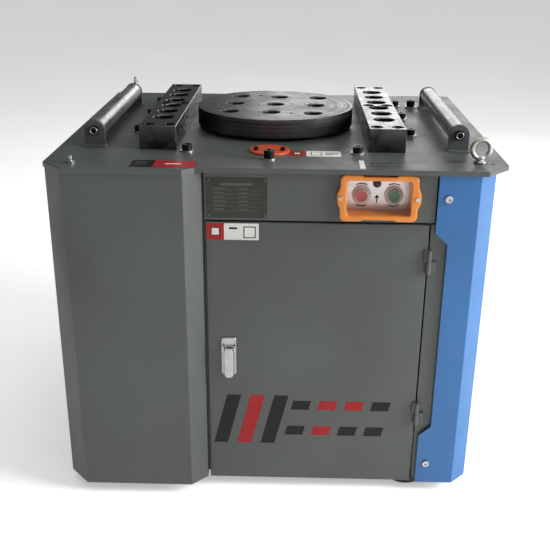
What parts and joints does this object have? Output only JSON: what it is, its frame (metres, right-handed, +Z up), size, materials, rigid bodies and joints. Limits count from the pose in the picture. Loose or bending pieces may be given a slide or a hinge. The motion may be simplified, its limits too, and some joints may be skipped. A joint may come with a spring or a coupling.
{
  "type": "rebar bender",
  "caption": "Floor-standing bar bending machine: a geared turning disc with pin holes on a steel table, hole bars, feed rollers, a cabinet on wheels with a hinged door.",
  "frame": {"origin": "on the floor under the middle of the table's bounding box", "axes": "+Z up, +X to the operator's right, -Y towards the operator"},
  "size_m": [0.897, 0.8, 0.7804],
  "materials": {
    "grey_paint": "semi-gloss grey enamel",
    "blue_paint": "semi-gloss blue enamel",
    "dark_frame": "matt dark primer",
    "ground_steel": "turned and ground",
    "polished_steel": "polished",
    "zinc": "zinc plated",
    "black_oxide": "black oxide",
    "stainless": "brushed",
    "orange_plastic": "moulded",
    "orange_red_paint": "enamel",
    "red_plastic": "moulded",
    "green_plastic": "moulded",
    "black_plastic": "moulded",
    "wheel_rubber": "matt",
    "belt_rubber": "matt",
    "cast_iron": "as cast",
    "gear_steel": "machined",
    "motor_paint": "enamel"
  },
  "bodies": {
    "frame": {"table_top": "grey_paint", "left_cover": "grey_paint", "rear_panel": "grey_paint", "front_fascia": "grey_paint", "roller_brackets": "grey_paint", "frame_hinges": "grey_paint", "right_cover": "blue_paint", "door_frame": "dark_frame", "corner_posts": "dark_frame", "base_deck": "dark_frame", "motor_mount": "dark_frame", "control_box": "dark_frame", "left_hole_bar": "ground_steel", "right_hole_bar": "ground_steel", "roller_axles": "zinc", "front_lifting_eye": "zinc", "rear_lifting_eye": "zinc", "earth_stud": "zinc", "bolt_washers": "zinc", "cover_screws": "zinc", "fixed_forks": "zinc", "socket_screws": "black_oxide", "control_panel": "stainless", "button_bezels": "stainless", "control_shroud": "orange_plastic", "filler_port_cover": "orange_red_paint", "pilot_lamp": "black_plastic", "cable_gland": "black_plastic", "electrical_plate": "black_plastic", "drive_belts": "belt_rubber", "gearbox_housing": "cast_iron", "gearbox_cover": "cast_iron", "shaft_bearings": "gear_steel", "motor_housing": "motor_paint"},
    "work_disc": {"work_disc": "ground_steel", "main_shaft": "ground_steel", "main_gear": "gear_steel"},
    "second_shaft": {"second_shaft": "gear_steel", "second_gear": "gear_steel"},
    "third_shaft": {"third_shaft": "gear_steel", "third_gear": "gear_steel"},
    "input_shaft": {"input_shaft": "gear_steel", "driven_pulley": "cast_iron"},
    "motor_rotor": {"motor_rotor": "gear_steel", "motor_pulley": "cast_iron"},
    "left_roller": {"left_roller": "polished_steel"},
    "right_roller": {"right_roller": "polished_steel"},
    "door": {"front_door": "grey_paint", "door_hinges": "grey_paint", "lock_plate": "zinc"},
    "lock_cam": {"lock_cam": "zinc"},
    "lock_lever": {"lock_lever": "zinc"},
    "red_button": {"red_button": "red_plastic"},
    "green_button": {"green_button": "green_plastic"},
    "front_caster": {"front_caster_fork": "zinc"},
    "rear_caster": {"rear_caster_fork": "zinc"},
    "front_left_wheel": {"front_left_wheel": "wheel_rubber"},
    "rear_left_wheel": {"rear_left_wheel": "wheel_rubber"},
    "front_right_wheel": {"front_right_wheel": "wheel_rubber"},
    "rear_right_wheel": {"rear_right_wheel": "wheel_rubber"}
  },
  "joints": [
    {"name": "disc_turn", "type": "hinge", "parent": "frame", "child": "work_disc", "pos_m": [-0.01, 0.006, 0.768], "axis": [0, 0, 1], "continuous": true},
    {"name": "second_shaft_turn", "type": "hinge", "parent": "frame", "child": "second_shaft", "pos_m": [-0.01, 0.226, 0.6], "axis": [0, 0, 1], "continuous": true},
    {"name": "third_shaft_turn", "type": "hinge", "parent": "frame", "child": "third_shaft", "pos_m": [0.15, 0.226, 0.6], "axis": [0, 0, 1], "continuous": true},
    {"name": "input_shaft_turn", "type": "hinge", "parent": "frame", "child": "input_shaft", "pos_m": [0.2175, 0.10909, 0.6], "axis": [0, 0, 1], "continuous": true},
    {"name": "motor_turn", "type": "hinge", "parent": "frame", "child": "motor_rotor", "pos_m": [0.2175, -0.17491, 0.4], "axis": [0, 0, 1], "continuous": true},
    {"name": "left_roller_spin", "type": "hinge", "parent": "frame", "child": "left_roller", "pos_m": [-0.3737, 0.0035, 0.76], "axis": [0, 1, 0], "continuous": true},
    {"name": "right_roller_spin", "type": "hinge", "parent": "frame", "child": "right_roller", "pos_m": [0.368, 0.0035, 0.76], "axis": [0, 1, 0], "continuous": true},
    {"name": "door_swing", "type": "hinge", "parent": "frame", "child": "door", "pos_m": [0.3021, -0.37, 0.3], "axis": [0, 0, 1], "range_deg": [0, 115]},
    {"name": "lock_turn", "type": "hinge", "parent": "door", "child": "lock_cam", "pos_m": [-0.0933, -0.3645, 0.342], "axis": [0, -1, 0], "range_deg": [0, 90]},
    {"name": "lever_lift", "type": "hinge", "parent": "lock_cam", "child": "lock_lever", "pos_m": [-0.0933, -0.372, 0.342], "axis": [-1, 0, 0], "range_deg": [0, 40]},
    {"name": "red_button_press", "type": "slide", "parent": "frame", "child": "red_button", "axis": [0, 1, 0], "range_m": [0, 0.004], "stiffness_N_per_m": 800, "springref_m": -0.002},
    {"name": "green_button_press", "type": "slide", "parent": "frame", "child": "green_button", "axis": [0, 1, 0], "range_m": [0, 0.004], "stiffness_N_per_m": 800, "springref_m": -0.002},
    {"name": "front_caster_swivel", "type": "hinge", "parent": "frame", "child": "front_caster", "pos_m": [-0.3365, -0.279, 0.14], "axis": [0, 0, 1], "continuous": true},
    {"name": "rear_caster_swivel", "type": "hinge", "parent": "frame", "child": "rear_caster", "pos_m": [-0.3365, 0.286, 0.14], "axis": [0, 0, 1], "continuous": true},
    {"name": "front_left_wheel_spin", "type": "hinge", "parent": "front_caster", "child": "front_left_wheel", "pos_m": [-0.2985, -0.279, 0.0575], "axis": [0, 1, 0], "continuous": true},
    {"name": "rear_left_wheel_spin", "type": "hinge", "parent": "rear_caster", "child": "rear_left_wheel", "pos_m": [-0.2985, 0.286, 0.0575], "axis": [0, 1, 0], "continuous": true},
    {"name": "front_right_wheel_spin", "type": "hinge", "parent": "frame", "child": "front_right_wheel", "pos_m": [0.294, -0.326, 0.0575], "axis": [0, 1, 0], "continuous": true},
    {"name": "rear_right_wheel_spin", "type": "hinge", "parent": "frame", "child": "rear_right_wheel", "pos_m": [0.294, 0.326, 0.0575], "axis": [0, 1, 0], "continuous": true}
  ],
  "couplings": [
    {"joint": "second_shaft_turn", "follows": "disc_turn", "ratio": -4.5},
    {"joint": "third_shaft_turn", "follows": "disc_turn", "ratio": 18},
    {"joint": "input_shaft_turn", "follows": "disc_turn", "ratio": -72},
    {"joint": "motor_turn", "follows": "disc_turn", "ratio": -180}
  ]
}
